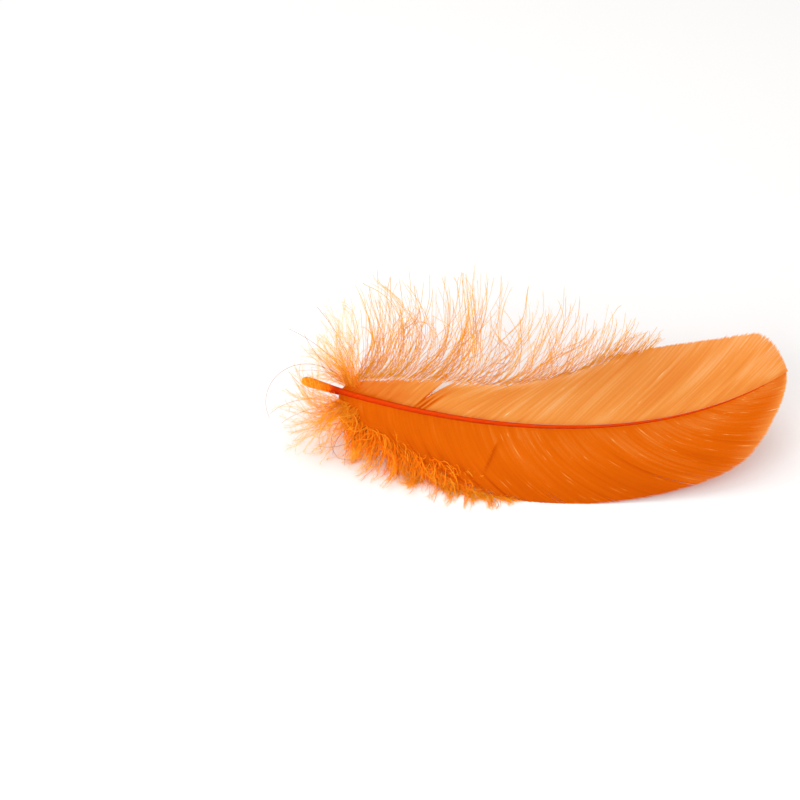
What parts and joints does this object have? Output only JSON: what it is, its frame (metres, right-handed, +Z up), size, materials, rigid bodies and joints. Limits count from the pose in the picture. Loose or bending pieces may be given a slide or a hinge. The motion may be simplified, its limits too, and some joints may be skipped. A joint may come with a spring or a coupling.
{
  "type": "goose quill feather",
  "caption": "Dyed goose feather lying on its edge: a quill that runs into a tapering shaft, a broad and a narrow curved vane, and wispy down round the base.",
  "frame": {"origin": "on the table, below the middle of the feather's box", "axes": "+X from the quill's end to the feather's tip, +Y from the narrow vane to the broad vane, +Z up"},
  "size_m": [0.151, 0.0794, 0.0453],
  "materials": {
    "dyed_quill": "satin",
    "dyed_vane": "soft, with fine parallel barbs"
  },
  "bodies": {
    "root": {"shaft": "dyed_quill", "broad_vane": "dyed_vane", "narrow_vane": "dyed_vane"}
  },
  "joints": []
}
